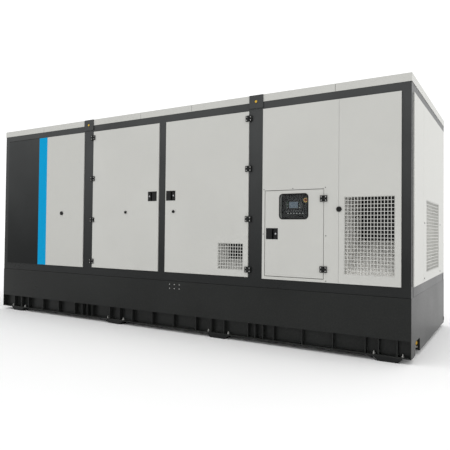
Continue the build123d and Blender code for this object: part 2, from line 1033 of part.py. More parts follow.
def alternator():
    """The round machine behind the engine, on its feet, with its terminal box."""
    x1 = engine_x1 + alternator_length
    middle = (engine_x1 + x1) / 2
    body = bar(alternator_radius, (engine_x1, 0, crank), (x1, 0, crank), round_sides)
    box = block(
        (middle - terminal_box_length / 2, middle + terminal_box_length / 2),
        (-terminal_box_width / 2, terminal_box_width / 2),
        (crank, crank + alternator_radius + terminal_box_height),
    )
    bottom = base_top + engine_clearance
    feet = block(
        (middle - alternator_foot_length / 2, middle + alternator_foot_length / 2),
        (-alternator_foot_width / 2, alternator_foot_width / 2),
        (bottom, bottom + alternator_foot_height),
    )
    return body + box + feet


def mount(x, y):
    """A rubber mount on the deck, under a foot of the machinery."""
    return block(
        (x - mount_length / 2, x + mount_length / 2),
        (y - mount_width / 2, y + mount_width / 2),
        (base_top, base_top + engine_clearance),
    )


def machine_mounts():
    mounts = []
    for x in (engine_x0 + mount_length, engine_x1 - mount_length):
        mounts += both_sides([mount(x, engine_mount_spread)])
    middle = engine_x1 + alternator_length / 2
    for x in (middle - mount_length, middle + mount_length):
        mounts += both_sides([mount(x, alternator_mount_spread)])
    return mounts


def radiator():
    """The core in its frame, standing across the set, with the fan's shroud."""
    x1 = radiator_face_x
    half = radiator_width / 2
    core = block((x1 - radiator_thickness, x1), (-half, half), (base_top, base_top + radiator_height))
    shroud = bar(fan_radius, (x1, 0, fan_z), (x1 + shroud_depth, 0, fan_z), round_sides)
    past = x1 + shroud_depth + cut_past
    bore = bar(fan_radius - shroud_plate, (x1, 0, fan_z), (past, 0, fan_z), round_sides)
    return core + (shroud - bore)


def cooling_fan():
    """A fan on its shaft, turned by the engine inside the shroud."""
    x0 = radiator_face_x + fan_gap
    x1 = radiator_face_x + shroud_depth
    tip = fan_radius - shroud_plate - fan_gap
    shape = bar(fan_hub_radius, (x0, 0, fan_z), (x1, 0, fan_z), pipe_sides)
    shape += bar(fan_shaft_radius, (x1, 0, fan_z), (engine_x0, 0, fan_z), pipe_sides)
    half = fan_blade_width / 2
    blade = block((0, fan_blade_thickness), (-half, half), (0, tip))
    blade = Rot(0, 0, fan_blade_twist) * blade
    for index in range(fan_blades):
        shape += Pos((x0 + x1) / 2, 0, fan_z) * Rot(360 * index / fan_blades, 0, 0) * blade
    return shape


def silencer():
    """The exhaust silencer, lying across the radiator bay on its cradle."""
    half = silencer_length / 2
    x, z = silencer_x, silencer_z
    body = bar(silencer_radius, (x, -half, z), (x, half, z), round_sides)
    cradle = block(
        (x - cradle_width / 2, x + cradle_width / 2),
        (-cradle_length / 2, cradle_length / 2),
        (base_top, z),
    )
    return body + cradle


def exhaust_pipe():
    """The pipe from the engine's vee over the radiator and down into the silencer."""
    x = silencer_x + exhaust_offset
    level = base_top + exhaust_level
    bottom = crank + block_top - head_width
    rise = bar(exhaust_radius, (exhaust_x, 0, bottom), (exhaust_x, 0, level + exhaust_radius), pipe_sides)
    run = bar(exhaust_radius, (x, 0, level), (exhaust_x, 0, level), pipe_sides)
    drop = bar(exhaust_radius, (x, 0, silencer_z), (x, 0, level + exhaust_radius), pipe_sides)
    return rise + run + drop - silencer()


def control_cabinet():
    """The cabinet behind the control door, stepped back over the sill rail."""
    y0, y1 = seat_y + cabinet_gap, seat_y + cabinet_gap + cabinet_depth
    foot_y = inner_y + cabinet_gap
    z0 = sill + seat_width + cabinet_gap
    z1 = control_door_z1 + cabinet_rise
    outline = [(y0, z0), (y0, z1), (y1, z1), (y1, base_top), (foot_y, base_top), (foot_y, z0)]
    return prism(outline, (control_x0 + cabinet_side, control_x1 - cabinet_side))


def inlet_baffle():
    """The lining behind the inlet grille: a side wall and a sloped floor."""
    y0, y1 = inner_y + cabinet_gap, inner_y + baffle_depth
    x0 = inlet_x0 + baffle_side
    x1 = inner_x - cabinet_gap
    wall = block((x0, x0 + baffle_plate), (y0, y1), (base_top, head - seat_width - cabinet_gap))
    low = inlet_grille_z0 - baffle_plate
    high = inlet_grille_z0 + baffle_climb
    slope = [(y0, low), (y1, high), (y1, base_top), (y0, base_top)]
    return wall + prism(slope, (x0, x1))


def write(name, shapes):
    """Writes one sub-part, of one solid or of several that don't touch."""
    shapes = shapes if isinstance(shapes, list) else [shapes]
    solids = [solid for shape in shapes for solid in shape.solids()]
    whole = solids[0] if len(solids) == 1 else Compound(children=solids)
    whole.label = name
    export_step(whole, f"parts/{name}.step")


nodes = {
    "base_rails": both_sides([base_rail()]),
    "base_skirts": both_sides([base_skirt()]),
    "base_end_right": base_end() - drain_recess() - cable_hole() + drain_pocket(),
    "base_end_left": far_end(base_end()),
    "base_deck": base_deck(),
    "fuel_tank": fuel_tank(),
    "skid_feet": skid_feet(),
    "drain_valve": drain_valve(),
    "corner_posts": all_corners(corner_post()),
    "lifting_posts": both_sides([post(lift_left_x0, lift_left_x1), post(lift_right_x0, lift_right_x1)]),
    "mid_posts": both_sides([post(mid_x0, mid_x1)]),
    "sill_rails": side_rails(base_top, sill, 1) + end_rails(base_top, sill, 1),
    "head_rails": side_rails(head, cap, -1) + end_rails(head, cap, -1),
    "lifting_plates": lifting_plates(),
    "radiator_bay_panel": panel(radiator_x0, radiator_x1),
    "control_bay_panel": control_bay_panel(),
    "inlet_panel": inlet_panel(),
    "inlet_grille": inlet_grille(),
    "rear_panels": rear_panels(),
    "rear_doors": [rear(door_left()), rear(door_right())],
    "rear_grilles": rear_grilles(),
    "rear_fittings": rear_fittings(),
    "end_panels_right": end_panels(),
    "end_grille_right": end_grille(),
    "end_panels_left": plain_end_panels(),
    "door_left": door_left(),
    "door_right": door_right(),
    "door_right_grille": door_right_grille(),
    "control_door": control_door(),
    "control_window": control_window(),
    "window_gasket": window_gasket(),
    "hinge_leaves_frame": frame_leaves(),
    "hinge_leaves_left": left_door_leaves(),
    "hinge_leaves_right": right_door_leaves(),
    "hinge_leaves_control": control_door_leaves(),
    "latch_left": Pos(left_latch_x0, panel_y, latch_z0) * latch_housing(1),
    "latch_right": Pos(right_latch_x0, panel_y, latch_z0) * latch_housing(-1),
    "latch_control": Pos(control_latch_x0, panel_y, control_latch_z0) * latch_housing(-1),
    "paddle_left": Pos(left_latch_x0, panel_y, latch_z0) * paddle(1),
    "paddle_right": Pos(right_latch_x0, panel_y, latch_z0) * paddle(-1),
    "paddle_control": Pos(control_latch_x0, panel_y, control_latch_z0) * paddle(-1),
    "buffers_frame": frame_buffers(),
    "buffer_left": buffer(left_pin_x + left_buffer_reach, door_buffer_radius),
    "buffer_right": buffer(right_pin_x - right_buffer_reach, door_buffer_radius),
    "roof_panels": roof_panels(),
    "roof_discharge_grille": roof_discharge_grille(),
    "engine": engine_block() + rocker_covers(),
    "air_filters": air_filters(),
    "alternator": alternator(),
    "machine_mounts": machine_mounts(),
    "radiator": radiator(),
    "cooling_fan": cooling_fan(),
    "silencer": silencer(),
    "exhaust_pipe": exhaust_pipe(),
    "control_cabinet": control_cabinet(),
    "inlet_baffle": inlet_baffle(),
}

os.makedirs("parts", exist_ok=True)
for node, node_shapes in nodes.items():
    write(node, node_shapes)
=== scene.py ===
import json
import math

import bmesh
import bpy
from mathutils import Matrix, Vector


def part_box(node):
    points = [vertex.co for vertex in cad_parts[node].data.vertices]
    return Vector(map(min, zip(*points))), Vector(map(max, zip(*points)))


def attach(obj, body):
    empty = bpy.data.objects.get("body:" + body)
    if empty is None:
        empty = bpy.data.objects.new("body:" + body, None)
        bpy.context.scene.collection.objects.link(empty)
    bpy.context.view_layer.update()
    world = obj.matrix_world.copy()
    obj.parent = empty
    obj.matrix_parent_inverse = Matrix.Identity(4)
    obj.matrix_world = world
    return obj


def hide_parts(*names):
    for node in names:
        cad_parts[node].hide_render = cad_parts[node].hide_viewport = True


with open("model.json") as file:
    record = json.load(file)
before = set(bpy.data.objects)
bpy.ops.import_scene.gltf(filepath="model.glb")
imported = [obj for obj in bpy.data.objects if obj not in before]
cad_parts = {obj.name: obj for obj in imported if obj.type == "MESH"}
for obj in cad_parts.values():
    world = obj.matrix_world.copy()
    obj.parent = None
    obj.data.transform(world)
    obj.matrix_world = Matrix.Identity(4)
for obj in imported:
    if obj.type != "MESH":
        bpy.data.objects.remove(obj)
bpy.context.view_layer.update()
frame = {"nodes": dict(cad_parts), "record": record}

# A canopied diesel generator set: the finishes of its CAD nodes and the small pieces on them.
# All sizes are in metres, in the frame of the CAD model.

MM = 0.001


# Shader maths


class Signal:
    """A shader socket that takes part in sums written as Python expressions."""

    def __init__(self, finish, socket):
        self.finish, self.socket = finish, socket

    def sum(self, operation, *values):
        return self.finish.node("ShaderNodeMath", {"operation": operation}, dict(enumerate(values)))

    def __add__(self, other):
        return self.sum("ADD", self, other)

    def __sub__(self, other):
        return self.sum("SUBTRACT", self, other)

    def __rsub__(self, other):
        return self.sum("SUBTRACT", other, self)

    def __mul__(self, other):
        return self.sum("MULTIPLY", self, other)

    __radd__ = __add__
    __rmul__ = __mul__

    def below(self, limit):
        """1 where this value is under a limit, and 0 elsewhere."""
        return self.sum("LESS_THAN", self, limit)

    def ramp(self, low, high, start=0.0, end=1.0):
        """A smooth step from start to end as this value goes from low to high."""
        settings = {"interpolation_type": "SMOOTHSTEP"}
        return self.finish.node("ShaderNodeMapRange", settings, {0: self, 1: low, 2: high, 3: start, 4: end})


class Finish:
    """A material under construction, with its Principled shader."""

    def __init__(self, name, **constants):
        self.material = bpy.data.materials.new(name)
        self.material.use_nodes = True
        self.tree = self.material.node_tree
        self.shader = self.tree.nodes["Principled BSDF"]
        for socket, value in constants.items():
            self.set(socket.replace("_", " "), value)

    def node(self, kind, settings=None, inputs=None, output=0):
        """Adds a shader node, and gives one of its outputs."""
        made = self.tree.nodes.new(kind)
        for key, value in (settings or {}).items():
            setattr(made, key, value)
        for key, value in (inputs or {}).items():
            self.plug(made.inputs[key], value)
        return Signal(self, made.outputs[output])

    def plug(self, socket, value):
        if isinstance(value, Signal):
            self.tree.links.new(value.socket, socket)
        else:
            socket.default_value = value

    def set(self, socket, value):
        self.plug(self.shader.inputs[socket], value)

    def place(self):
        """Object coordinates, which are places in the CAD frame in metres."""
        return self.node("ShaderNodeTexCoord", output="Object")

    def axes(self):
        """X, Y and Z of the place, as three signals."""
        split = self.tree.nodes.new("ShaderNodeSeparateXYZ")
        self.plug(split.inputs[0], self.place())
        return [Signal(self, socket) for socket in split.outputs]

    def noise(self, scale, detail, stretch=None):
        where = self.place()
        if stretch:
            where = self.node("ShaderNodeMapping", {}, {"Vector": where, "Scale": stretch})
        inputs = {"Vector": where, "Scale": scale, "Detail": detail}
        return self.node("ShaderNodeTexNoise", {}, inputs)

    def mix(self, low, high, factor):
        """A colour between two, each a triple or a signal."""
        low, high = [colour if isinstance(colour, Signal) else (*colour, 1) for colour in (low, high)]
        return self.node("ShaderNodeMix", {"data_type": "RGBA"}, {0: factor, 6: low, 7: high}, 2)

    def shade(self, colour, factor, amount):
        """A colour made a little darker and lighter by a factor from 0 to 1."""
        darker = [channel * (1 - amount) for channel in colour]
        lighter = [min(1, channel * (1 + amount)) for channel in colour]
        return self.mix(darker, lighter, factor)

    def bump(self, height, strength, distance=MM):
        """Sets the shader's normal from a height."""
        inputs = {"Height": height, "Strength": strength, "Distance": distance}
        self.set("Normal", self.node("ShaderNodeBump", {}, inputs))

    def uneven(self, pattern, low, high):
        """Sets a roughness that follows a pattern from low to high."""
        self.set("Roughness", pattern.ramp(0.2, 0.8, low, high))


# Places that several pieces share, read from the CAD nodes

skirt_low, skirt_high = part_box("base_skirts")
face_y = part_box("radiator_bay_panel")[0].y
base_top = skirt_high.z


# Finishes

LIGHT = (0.500, 0.500, 0.475)
DARK = (0.050, 0.052, 0.052)
# The low dark tone is painted shade: the frame is made darker towards the base to stand in for its dimmer
# reflections there.
DARK_PAINTED_SHADE = (0.014, 0.015, 0.015)
BASE = (0.0145, 0.0155, 0.015)
BLUE = (0.0, 0.29, 0.56)
PALE = (0.90, 0.89, 0.85)
DUST = (0.30, 0.28, 0.25)

# The stripe's outer and inner side, along X

STRIPE_OUTER = -2.159
STRIPE_INNER = -1.989


def enamel(name, colour, roughness, peel=0.25, shift=0.06, dust=0.0, sheen=0.5):
    """Sprayed paint: slight orange peel, uneven gloss and, low down, a little dust.

    The colour is a triple, or a function that makes one which changes along the set.
    """
    finish = Finish(name, Specular_IOR_Level=sheen)
    cloud = finish.noise(1.3, 3)
    speck = finish.noise(60, 3)
    if callable(colour):
        tone = colour(finish, cloud)
    else:
        tone = finish.shade(colour, cloud.ramp(0.3, 0.7), shift)
    if dust:
        height = finish.axes()[2]
        veil = height.ramp(base_top + 0.5, 0, 0.1, 1) * speck.ramp(0.35, 0.75) * dust
        tone = finish.mix(tone, DUST, veil)
    finish.set("Base Color", tone)
    finish.set("Roughness", roughness + (cloud + speck - 1) * 0.12)
    finish.bump(finish.noise(420, 2), peel, 0.2 * MM)
    return finish


def frame_tones_with_painted_shade(finish, cloud):
    """The dark frame, with painted shade: its paint darkens towards the base to stand in for the dimmer
    reflections low down.
    """
    height = finish.axes()[2]
    low, high = [finish.shade(colour, cloud.ramp(0.3, 0.7), 0.1) for colour in (DARK_PAINTED_SHADE, DARK)]
    # Painted shade: the dark tone deepens from high up towards the base.
    return finish.mix(low, high, height.ramp(base_top - 0.1, 2.7))


def bay_tones(finish, cloud):
    """The fixed panel by the radiator: dark at its end, then a blue stripe, then light."""
    x = finish.axes()[0]
    light = finish.shade(LIGHT, cloud, 0.02)
    blue = finish.shade(BLUE, cloud, 0.03)
    # The dark end of the panel has the same painted shade, darker towards the base.
    dark = frame_tones_with_painted_shade(finish, cloud)
    striped = finish.mix(light, blue, x.below(STRIPE_INNER))
    return finish.mix(striped, dark, x.below(STRIPE_OUTER))


def metal(name, metallic, colours, grain, gloss_grain, roughness, detail=2):
    """Bare or plated metal, with a fine grain in its colour and another in its gloss."""
    finish = Finish(name, Metallic=metallic)
    finish.set("Base Color", finish.mix(*colours, finish.noise(grain, detail)))
    finish.uneven(finish.noise(gloss_grain, 2), *roughness)
    return finish


def window_glass():
    finish = Finish("window_glass", Transmission_Weight=1.0, IOR=1.22)
    finish.set("Roughness", finish.noise(14, 2).ramp(0.3, 0.8, 0.0, 0.04))
    finish.set("Base Color", finish.mix((0.80, 0.84, 0.84), (0.92, 0.94, 0.94), finish.noise(5, 2)))
    return finish


def radiator_fins():
    finish = Finish("radiator_fins", Metallic=0.8)
    rows = finish.node("ShaderNodeTexWave", {"bands_direction": "Z"}, {"Vector": finish.place(), "Scale": 55})
    finish.set("Base Color", finish.mix((0.05, 0.05, 0.05), (0.32, 0.32, 0.31), rows))
    finish.uneven(finish.noise(30, 2), 0.4, 0.62)
    finish.bump(rows, 0.6, 2 * MM)
    return finish


def exhaust_steel():
    finish = Finish("exhaust_steel", Metallic=0.9)
    lines = finish.noise(6, 4, (1, 0.05, 12))
    finish.set("Base Color", finish.mix((0.30, 0.28, 0.25), (0.52, 0.50, 0.46), lines))
    finish.uneven(lines, 0.35, 0.55)
    return finish


def plastic(name, colour, roughness):
    finish = Finish(name, Specular_IOR_Level=0.25)
    finish.set("Base Color", finish.shade(colour, finish.noise(120, 2), 0.08))
    finish.uneven(finish.noise(200, 2), roughness - 0.06, roughness + 0.08)
    return finish


def foam():
    """Sound deadening foam: charcoal, matt, with fine pores."""
    finish = Finish("foam")
    pores = finish.node("ShaderNodeTexVoronoi", {}, {"Vector": finish.place(), "Scale": 160})
    finish.set("Base Color", finish.mix((0.015, 0.015, 0.016), (0.05, 0.05, 0.052), pores.ramp(0.0, 0.6)))
    finish.set("Roughness", pores.ramp(0.0, 0.6, 0.98, 0.86))
    finish.bump(pores, 0.7, 2 * MM)
    return finish


def screen_glow():
    """A small display, lit a dim blue, with rows of grey marks that spell nothing."""
    finish = Finish("screen_glow", Emission_Strength=0.16)
    rows = finish.node("ShaderNodeTexBrick", {}, {"Vector": finish.place(), "Scale": 90})
    finish.set("Base Color", finish.mix((0.03, 0.05, 0.07), (0.12, 0.16, 0.2), rows))
    finish.set("Emission Color", finish.mix((0.08, 0.12, 0.16), (0.35, 0.42, 0.48), rows))
    finish.uneven(finish.noise(30, 1), 0.12, 0.2)
    return finish


slot_finishes = {
    "light_paint": enamel("light_paint", LIGHT, 0.42, shift=0.02, dust=0.03, sheen=0.3),
    # The dark paint carries painted shade, darker towards the base.
    "dark_paint": enamel("dark_paint", frame_tones_with_painted_shade, 0.30, dust=0.02, sheen=0.12),
    "base_paint": enamel("base_paint", BASE, 0.32, shift=0.12, dust=0.02, sheen=0.12),
    "black_metal": enamel("black_metal", (0.009, 0.0095, 0.0095), 0.38, shift=0.15, sheen=0.15),
    "black_rubber": enamel("black_rubber", (0.008, 0.008, 0.008), 0.72, 0.5, 0.2, sheen=0.2),
    "tank_steel": enamel("tank_steel", (0.045, 0.045, 0.045), 0.5, 0.3, 0.15, 0.3),
    "engine_paint": enamel("engine_paint", (0.085, 0.11, 0.12), 0.42, 0.5, 0.15),
    "cabinet_paint": enamel("cabinet_paint", (0.30, 0.30, 0.29), 0.45, 0.4, 0.04),
    "brass": metal("brass", 1.0, ((0.44, 0.29, 0.08), (0.68, 0.49, 0.18)), 90, 150, (0.22, 0.48), detail=3),
    "glass": window_glass(),
    "radiator_aluminium": radiator_fins(),
    "silencer_steel": exhaust_steel(),
}
bay_paint = enamel("bay_paint", bay_tones, 0.36, dust=0.03, sheen=0.03)
zinc_plate = metal("zinc", 0.85, ((0.30, 0.30, 0.29), (0.52, 0.52, 0.50)), 240, 160, (0.28, 0.5))
lock_steel = metal("bright_steel", 1.0, ((0.32, 0.32, 0.33), (0.50, 0.50, 0.51)), 300, 200, (0.16, 0.32))
yellow_plastic = plastic("yellow_plastic", (0.60, 0.37, 0.03), 0.35)
red_plastic = plastic("red_plastic", (0.22, 0.015, 0.012), 0.3)
grey_plastic = plastic("grey_plastic", (0.10, 0.10, 0.10), 0.4)
green_plastic = plastic("green_plastic", (0.02, 0.22, 0.05), 0.3)
white_plastic = plastic("white_plastic", (0.72, 0.73, 0.72), 0.35)
black_plastic = plastic("black_plastic", (0.010, 0.011, 0.012), 0.42)
door_foam = foam()
lining = enamel("lining", PALE, 0.55, shift=0.04)
display = screen_glow()


def dress_nodes():
    """Gives each CAD node the finish of its slot in the record."""
    slots = {part["node"]: part["material_slot"] for part in frame["record"]["subparts"]}
    for name, node in frame["nodes"].items():
        node.data.materials.clear()
        node.data.materials.append(slot_finishes[slots[name]].material)
    for name in ("radiator_bay_panel", "rear_panels"):
        frame["nodes"][name].data.materials[0] = bay_paint.material
    frame["nodes"]["inlet_baffle"].data.materials[0] = lining.material


# Shapes


def add_block(bm, low, high, edge=0.0, segments=1):
    """A block between two corners, its edges bevelled by edge."""
    low, high = Vector(low), Vector(high)
    made = bmesh.ops.create_cube(bm, size=1)["verts"]
    bmesh.ops.scale(bm, vec=high - low, verts=made)
    bmesh.ops.translate(bm, vec=(low + high) / 2, verts=made)
    if edge:
        edges = list({line for vert in made for line in vert.link_edges})
        bmesh.ops.bevel(
            bm, geom=edges, offset=edge, segments=segments, profile=0.5, affect="EDGES", material=-1
        )


def add_round(bm, profile, place, axis, sides=24):
    """A turned shape: its profile is a list of (radius, height) from the place along the axis."""
    turn = Vector((0, 0, 1)).rotation_difference(Vector(axis)).to_matrix().to_4x4()
    verts = [bm.verts.new((radius, 0, height)) for radius, height in profile]
    edges = [bm.edges.new(pair) for pair in zip(verts, verts[1:])]
    bmesh.ops.spin(
        bm, geom=verts + edges, cent=(0, 0, 0), axis=(0, 0, 1), angle=2 * math.pi, steps=sides, use_merge=True
    )
    found, fresh = set(), set(verts)
    while fresh:
        vert = fresh.pop()
        found.add(vert)
        fresh |= {line.other_vert(vert) for line in vert.link_edges} - found
    bmesh.ops.transform(bm, matrix=Matrix.Translation(place) @ turn, verts=list(found))


def in_mm(profile):
    """The profile of a turned shape in metres, from one in millimetres."""
    return [(radius * MM, height * MM) for radius, height in profile]


def finish_piece(name, bm, finish, body, replaces=(), smooth=True):
    """Turns a bmesh into a piece that rides on a body."""
    bmesh.ops.remove_doubles(bm, verts=bm.verts, dist=0.01 * MM)
    bmesh.ops.recalc_face_normals(bm, faces=bm.faces)
    mesh = bpy.data.meshes.new(name)
    bm.to_mesh(mesh)
    bm.free()
    if smooth:
        mesh.shade_smooth()
        mesh.set_sharp_from_angle(angle=math.radians(32))
    mesh.materials.append(finish.material)
    piece = bpy.data.objects.new(name, mesh)
    bpy.context.scene.collection.objects.link(piece)
    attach(piece, body)
    if replaces:
        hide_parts(*replaces)


# Perforated plates

HOLE_PITCH_X = 31.3 * MM
HOLE_PITCH_Z = 35.6 * MM
HOLE_BAR = 8 * MM
PLATE = 3 * MM
INLET_HOLES = (15, 21)
DOOR_HOLES = (10, 8)
END_HOLES = (29, 21)


def add_mesh(bm, other):
    """Moves all of another bmesh into this one."""
    mesh = bpy.data.meshes.new("passing")
    other.to_mesh(mesh)
    other.free()
    bm.from_mesh(mesh)
    bpy.data.meshes.remove(mesh)


def add_repeats(bm, count, step):
    """Repeats all that the mesh holds so far, count times in all, a step apart."""
    first = bm.verts[:] + bm.edges[:] + bm.faces[:]
    for index in range(1, count):
        copy = bmesh.ops.duplicate(bm, geom=first)["geom"]
        verts = [part for part in copy if isinstance(part, bmesh.types.BMVert)]
        bmesh.ops.translate(bm, vec=Vector(step) * index, verts=verts)


def perforated_plate(bm, columns, rows, middle, turn=0.0):
    """Adds a sheet with rows of square holes, upright about its middle point."""
    sheet = bmesh.new()
    verts = bmesh.ops.create_grid(sheet, x_segments=1, y_segments=1, size=0.5)["verts"]
    bmesh.ops.scale(sheet, vec=(HOLE_PITCH_X, HOLE_PITCH_Z, 1), verts=verts)
    face = sheet.faces[:]
    bmesh.ops.inset_region(sheet, faces=face, thickness=HOLE_BAR / 2, use_boundary=True)
    bmesh.ops.delete(sheet, geom=face, context="FACES")
    add_repeats(sheet, columns, (HOLE_PITCH_X, 0, 0))
    add_repeats(sheet, rows, (0, HOLE_PITCH_Z, 0))
    bmesh.ops.remove_doubles(sheet, verts=sheet.verts, dist=0.1 * MM)
    half = Vector(((columns - 1) * HOLE_PITCH_X / 2, (rows - 1) * HOLE_PITCH_Z / 2, 0))
    bmesh.ops.translate(sheet, vec=-half, verts=sheet.verts)
    edge_x, edge_z = columns * HOLE_PITCH_X / 2, rows * HOLE_PITCH_Z / 2
    for vert in sheet.verts:
        for axis, reach in ((0, edge_x), (1, edge_z)):
            if abs(vert.co[axis]) > reach - MM:
                vert.co[axis] += math.copysign(HOLE_BAR / 2, vert.co[axis])
    bmesh.ops.solidify(sheet, geom=sheet.faces[:], thickness=PLATE)
    spin = Matrix.Rotation(turn, 4, "Z") @ Matrix.Rotation(math.pi / 2, 4, "X")
    place = Matrix.Translation(middle)
    bmesh.ops.transform(sheet, matrix=place @ spin, verts=sheet.verts)
    add_mesh(bm, sheet)


grille_boxes = {node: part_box(node) for node in ("inlet_grille", "door_right_grille", "end_grille_right")}


def finish_plates(name, bm, body, node):
    """Turns perforated plates into a piece that stands in place of a CAD node."""
    finish_piece(name, bm, slot_finishes["light_paint"], body, [node], smooth=False)


def make_grilles():
    """The perforated plates of both long sides and of the inlet end."""
    middles = {node: (low + high) / 2 for node, (low, high) in grille_boxes.items()}
    for name, node, body, holes, turn in (
        ("inlet_perforated_plate", "inlet_grille", "frame", INLET_HOLES, 0),
        ("door_perforated_plate", "door_right_grille", "right_door", DOOR_HOLES, 0),
        ("end_perforated_plate", "end_grille_right", "frame", END_HOLES, math.pi / 2),
    ):
        bm = bmesh.new()
        perforated_plate(bm, *holes, middles[node], turn)
        finish_plates(name, bm, body, node)
    bm = bmesh.new()
    rear_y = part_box("rear_grilles")[1].y - PLATE / 2
    for node, holes in (("inlet_grille", INLET_HOLES), ("door_right_grille", DOOR_HOLES)):
        perforated_plate(bm, *holes, Vector((middles[node].x, rear_y, middles[node].z)))
    finish_plates("rear_perforated_plates", bm, "frame", "rear_grilles")


# Small fittings

FRONT = (0, -1, 0)
RIGHT = (1, 0, 0)
UP = (0, 0, 1)
HALF_HINGE = 31 * MM
PIN_INSET = 8 * MM
LEAF_DEPTH = 11 * MM

left_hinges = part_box("hinge_leaves_left")
right_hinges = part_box("hinge_leaves_right")
control_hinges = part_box("hinge_leaves_control")
leaf_y = left_hinges[0].y + LEAF_DEPTH


def screw_head(radius, height, socket=0.55):
    """The profile of a round head with a hollow for the key."""
    return [
        (radius, 0),
        (radius, height * 0.6),
        (radius * 0.86, height),
        (radius * socket, height),
        (radius * socket, height * 0.35),
        (0, height * 0.35),
    ]


def cap_head(radius, height):
    """The profile of a low domed cap."""
    return [
        (radius, 0),
        (radius, height * 0.4),
        (radius * 0.85, height * 0.8),
        (radius * 0.5, height),
        (0, height),
    ]


def hinge_levels(box, count):
    """The heights of the middles of the hinges in a box, from the lowest up."""
    low, high = box[0].z + HALF_HINGE, box[1].z - HALF_HINGE
    return [low + index * (high - low) / (count - 1) for index in range(count)]


def hinge_screws():
    """Two screws in each hinge leaf: one piece on the frame and one on the door, for each door."""
    from_pin, from_middle = 23 * MM, 17 * MM
    door_levels = hinge_levels(left_hinges, 4)
    control_levels = hinge_levels(control_hinges, 2)
    for name, body, pin_x, side, levels in (
        ("left", "left_door", left_hinges[0].x + PIN_INSET, 1, door_levels),
        ("right", "right_door", right_hinges[1].x - PIN_INSET, -1, door_levels),
        ("control", "control_door", control_hinges[1].x - PIN_INSET, -1, control_levels),
    ):
        for part, rider, way in (("door", body, side), ("post", "frame", -side)):
            bm = bmesh.new()
            for level in levels:
                for rise in (-from_middle, from_middle):
                    place = (pin_x + way * from_pin, leaf_y, level + rise)
                    add_round(bm, screw_head(6 * MM, 2 * MM), place, FRONT, 12)
            finish_piece(f"hinge_screws_{name}_{part}", bm, zinc_plate, rider)


def lock_barrels():
    """A key lock in each latch tray, beside the paddle."""
    left_key, right_key = 25 * MM, 111 * MM
    half_width, half_height = 1.2 * MM, 6 * MM
    barrel = in_mm([(10, -1), (10, 2), (9, 3), (7, 3), (7, 1.5), (0, 1.5)])
    for name, body, key_x in (
        ("latch_left", "left_door", left_key),
        ("latch_right", "right_door", right_key),
        ("latch_control", "control_door", right_key),
    ):
        low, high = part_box(name)
        x, y, z = low.x + key_x, low.y, (low.z + high.z) / 2
        bm = bmesh.new()
        add_round(bm, barrel, (x, y, z), FRONT)
        finish_piece(f"{name}_lock", bm, lock_steel, body)
        # The black slab on the barrel is painted shade, standing in for the dark opening of the key slot.
        bm = bmesh.new()
        corner = (x - half_width, y - 2 * MM, z - half_height)
        add_block(bm, corner, (x + half_width, y - MM, z + half_height), 0.3 * MM)
        finish_piece(f"{name}_keyway_shade", bm, black_plastic, body)


def lifting_plugs():
    """A yellow plug in a dark rim, in the lifting hole of each lifting plate."""
    low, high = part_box("lifting_plates")
    post_low, post_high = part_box("lifting_posts")
    hole_inset = 112.5 * MM
    rim = in_mm([(23, -1), (23, 2), (20, 3), (15, 3), (15, -1)])
    plugs, rims = bmesh.new(), bmesh.new()
    for x in (post_low.x + hole_inset, post_high.x - hole_inset):
        for y, way in ((low.y, -1), (high.y, 1)):
            place = (x, y, (low.z + high.z) / 2)
            add_round(rims, rim, place, (0, way, 0))
            add_round(plugs, cap_head(14 * MM, 5 * MM), place, (0, way, 0), 20)
    finish_piece("lifting_hole_rims", rims, slot_finishes["dark_paint"], "frame")
    finish_piece("lifting_plugs", plugs, yellow_plastic, "frame")


def base_caps():
    """Six pale caps in two rows on the base, with two dark sockets between them."""
    x0, x1, z0, z1 = 0.200, 0.342, 0.512, 0.560
    half_socket = 11 * MM
    caps, sockets = bmesh.new(), bmesh.new()
    for x in (x0, (x0 + x1) / 2, x1):
        for z in (z0, z1):
            add_round(caps, cap_head(6.5 * MM, 3 * MM), (x, skirt_low.y, z), FRONT, 16)
    z = (z0 + z1) / 2
    for x in ((3 * x0 + x1) / 4, (x0 + 3 * x1) / 4):
        corner = (x - half_socket, skirt_low.y - 2 * MM, z - half_socket)
        add_block(sockets, corner, (x + half_socket, skirt_low.y + MM, z + half_socket), MM)
    finish_piece("base_caps", caps, zinc_plate, "frame")
    finish_piece("base_sockets", sockets, black_plastic, "frame")


MIDDLE_FEET = (-0.680, 0.868)


def foot_bolts():
    """A zinc bolt with its nut and washer on the flange at both ends of each foot."""
    low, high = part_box("skid_feet")
    half_foot, bolt_reach, edge_distance, flange = 135 * MM, 131 * MM, 28 * MM, 12 * MM
    seat_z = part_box("base_rails")[0].z + flange
    washer_height = 3 * MM
    washer = in_mm([(15, 0), (15, 3), (7, 3)])
    nut = in_mm([(11, 0), (11, 12), (8, 14), (6, 14), (6, 22), (5, 24), (0, 24)])
    bm = bmesh.new()
    for foot_x in (low.x + half_foot, *MIDDLE_FEET, high.x - half_foot):
        for x in (foot_x - bolt_reach, foot_x + bolt_reach):
            for y in (low.y + edge_distance, high.y - edge_distance):
                add_round(bm, washer, (x, y, seat_z), UP, 16)
                add_round(bm, nut, (x, y, seat_z + washer_height), UP, 6)
    finish_piece("foot_bolts", bm, zinc_plate, "frame", smooth=False)


CONTROL_BAY_SCREWS = (
    (1.437, 1.170),
    (2.126, 1.160),
    (2.128, 0.712),
    (1.772, 1.641),
    (1.442, 1.641),
    (2.118, 1.641),
)
END_SCREWS = ((-0.46, 1.30), (-0.46, 0.735), (0.70, 0.735), (0.70, 1.30))


def panel_screws():
    """Small dark screws round the control door and in the panels of the inlet end."""
    bm = bmesh.new()
    for x, z in CONTROL_BAY_SCREWS:
        add_round(bm, screw_head(5 * MM, 2.5 * MM), (x, face_y, z), FRONT, 12)
    end_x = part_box("end_panels_right")[1].x
    for y, z in END_SCREWS:
        add_round(bm, screw_head(9 * MM, 3 * MM), (end_x, y, z), RIGHT, 12)
    finish_piece("panel_screws", bm, black_plastic, "frame")


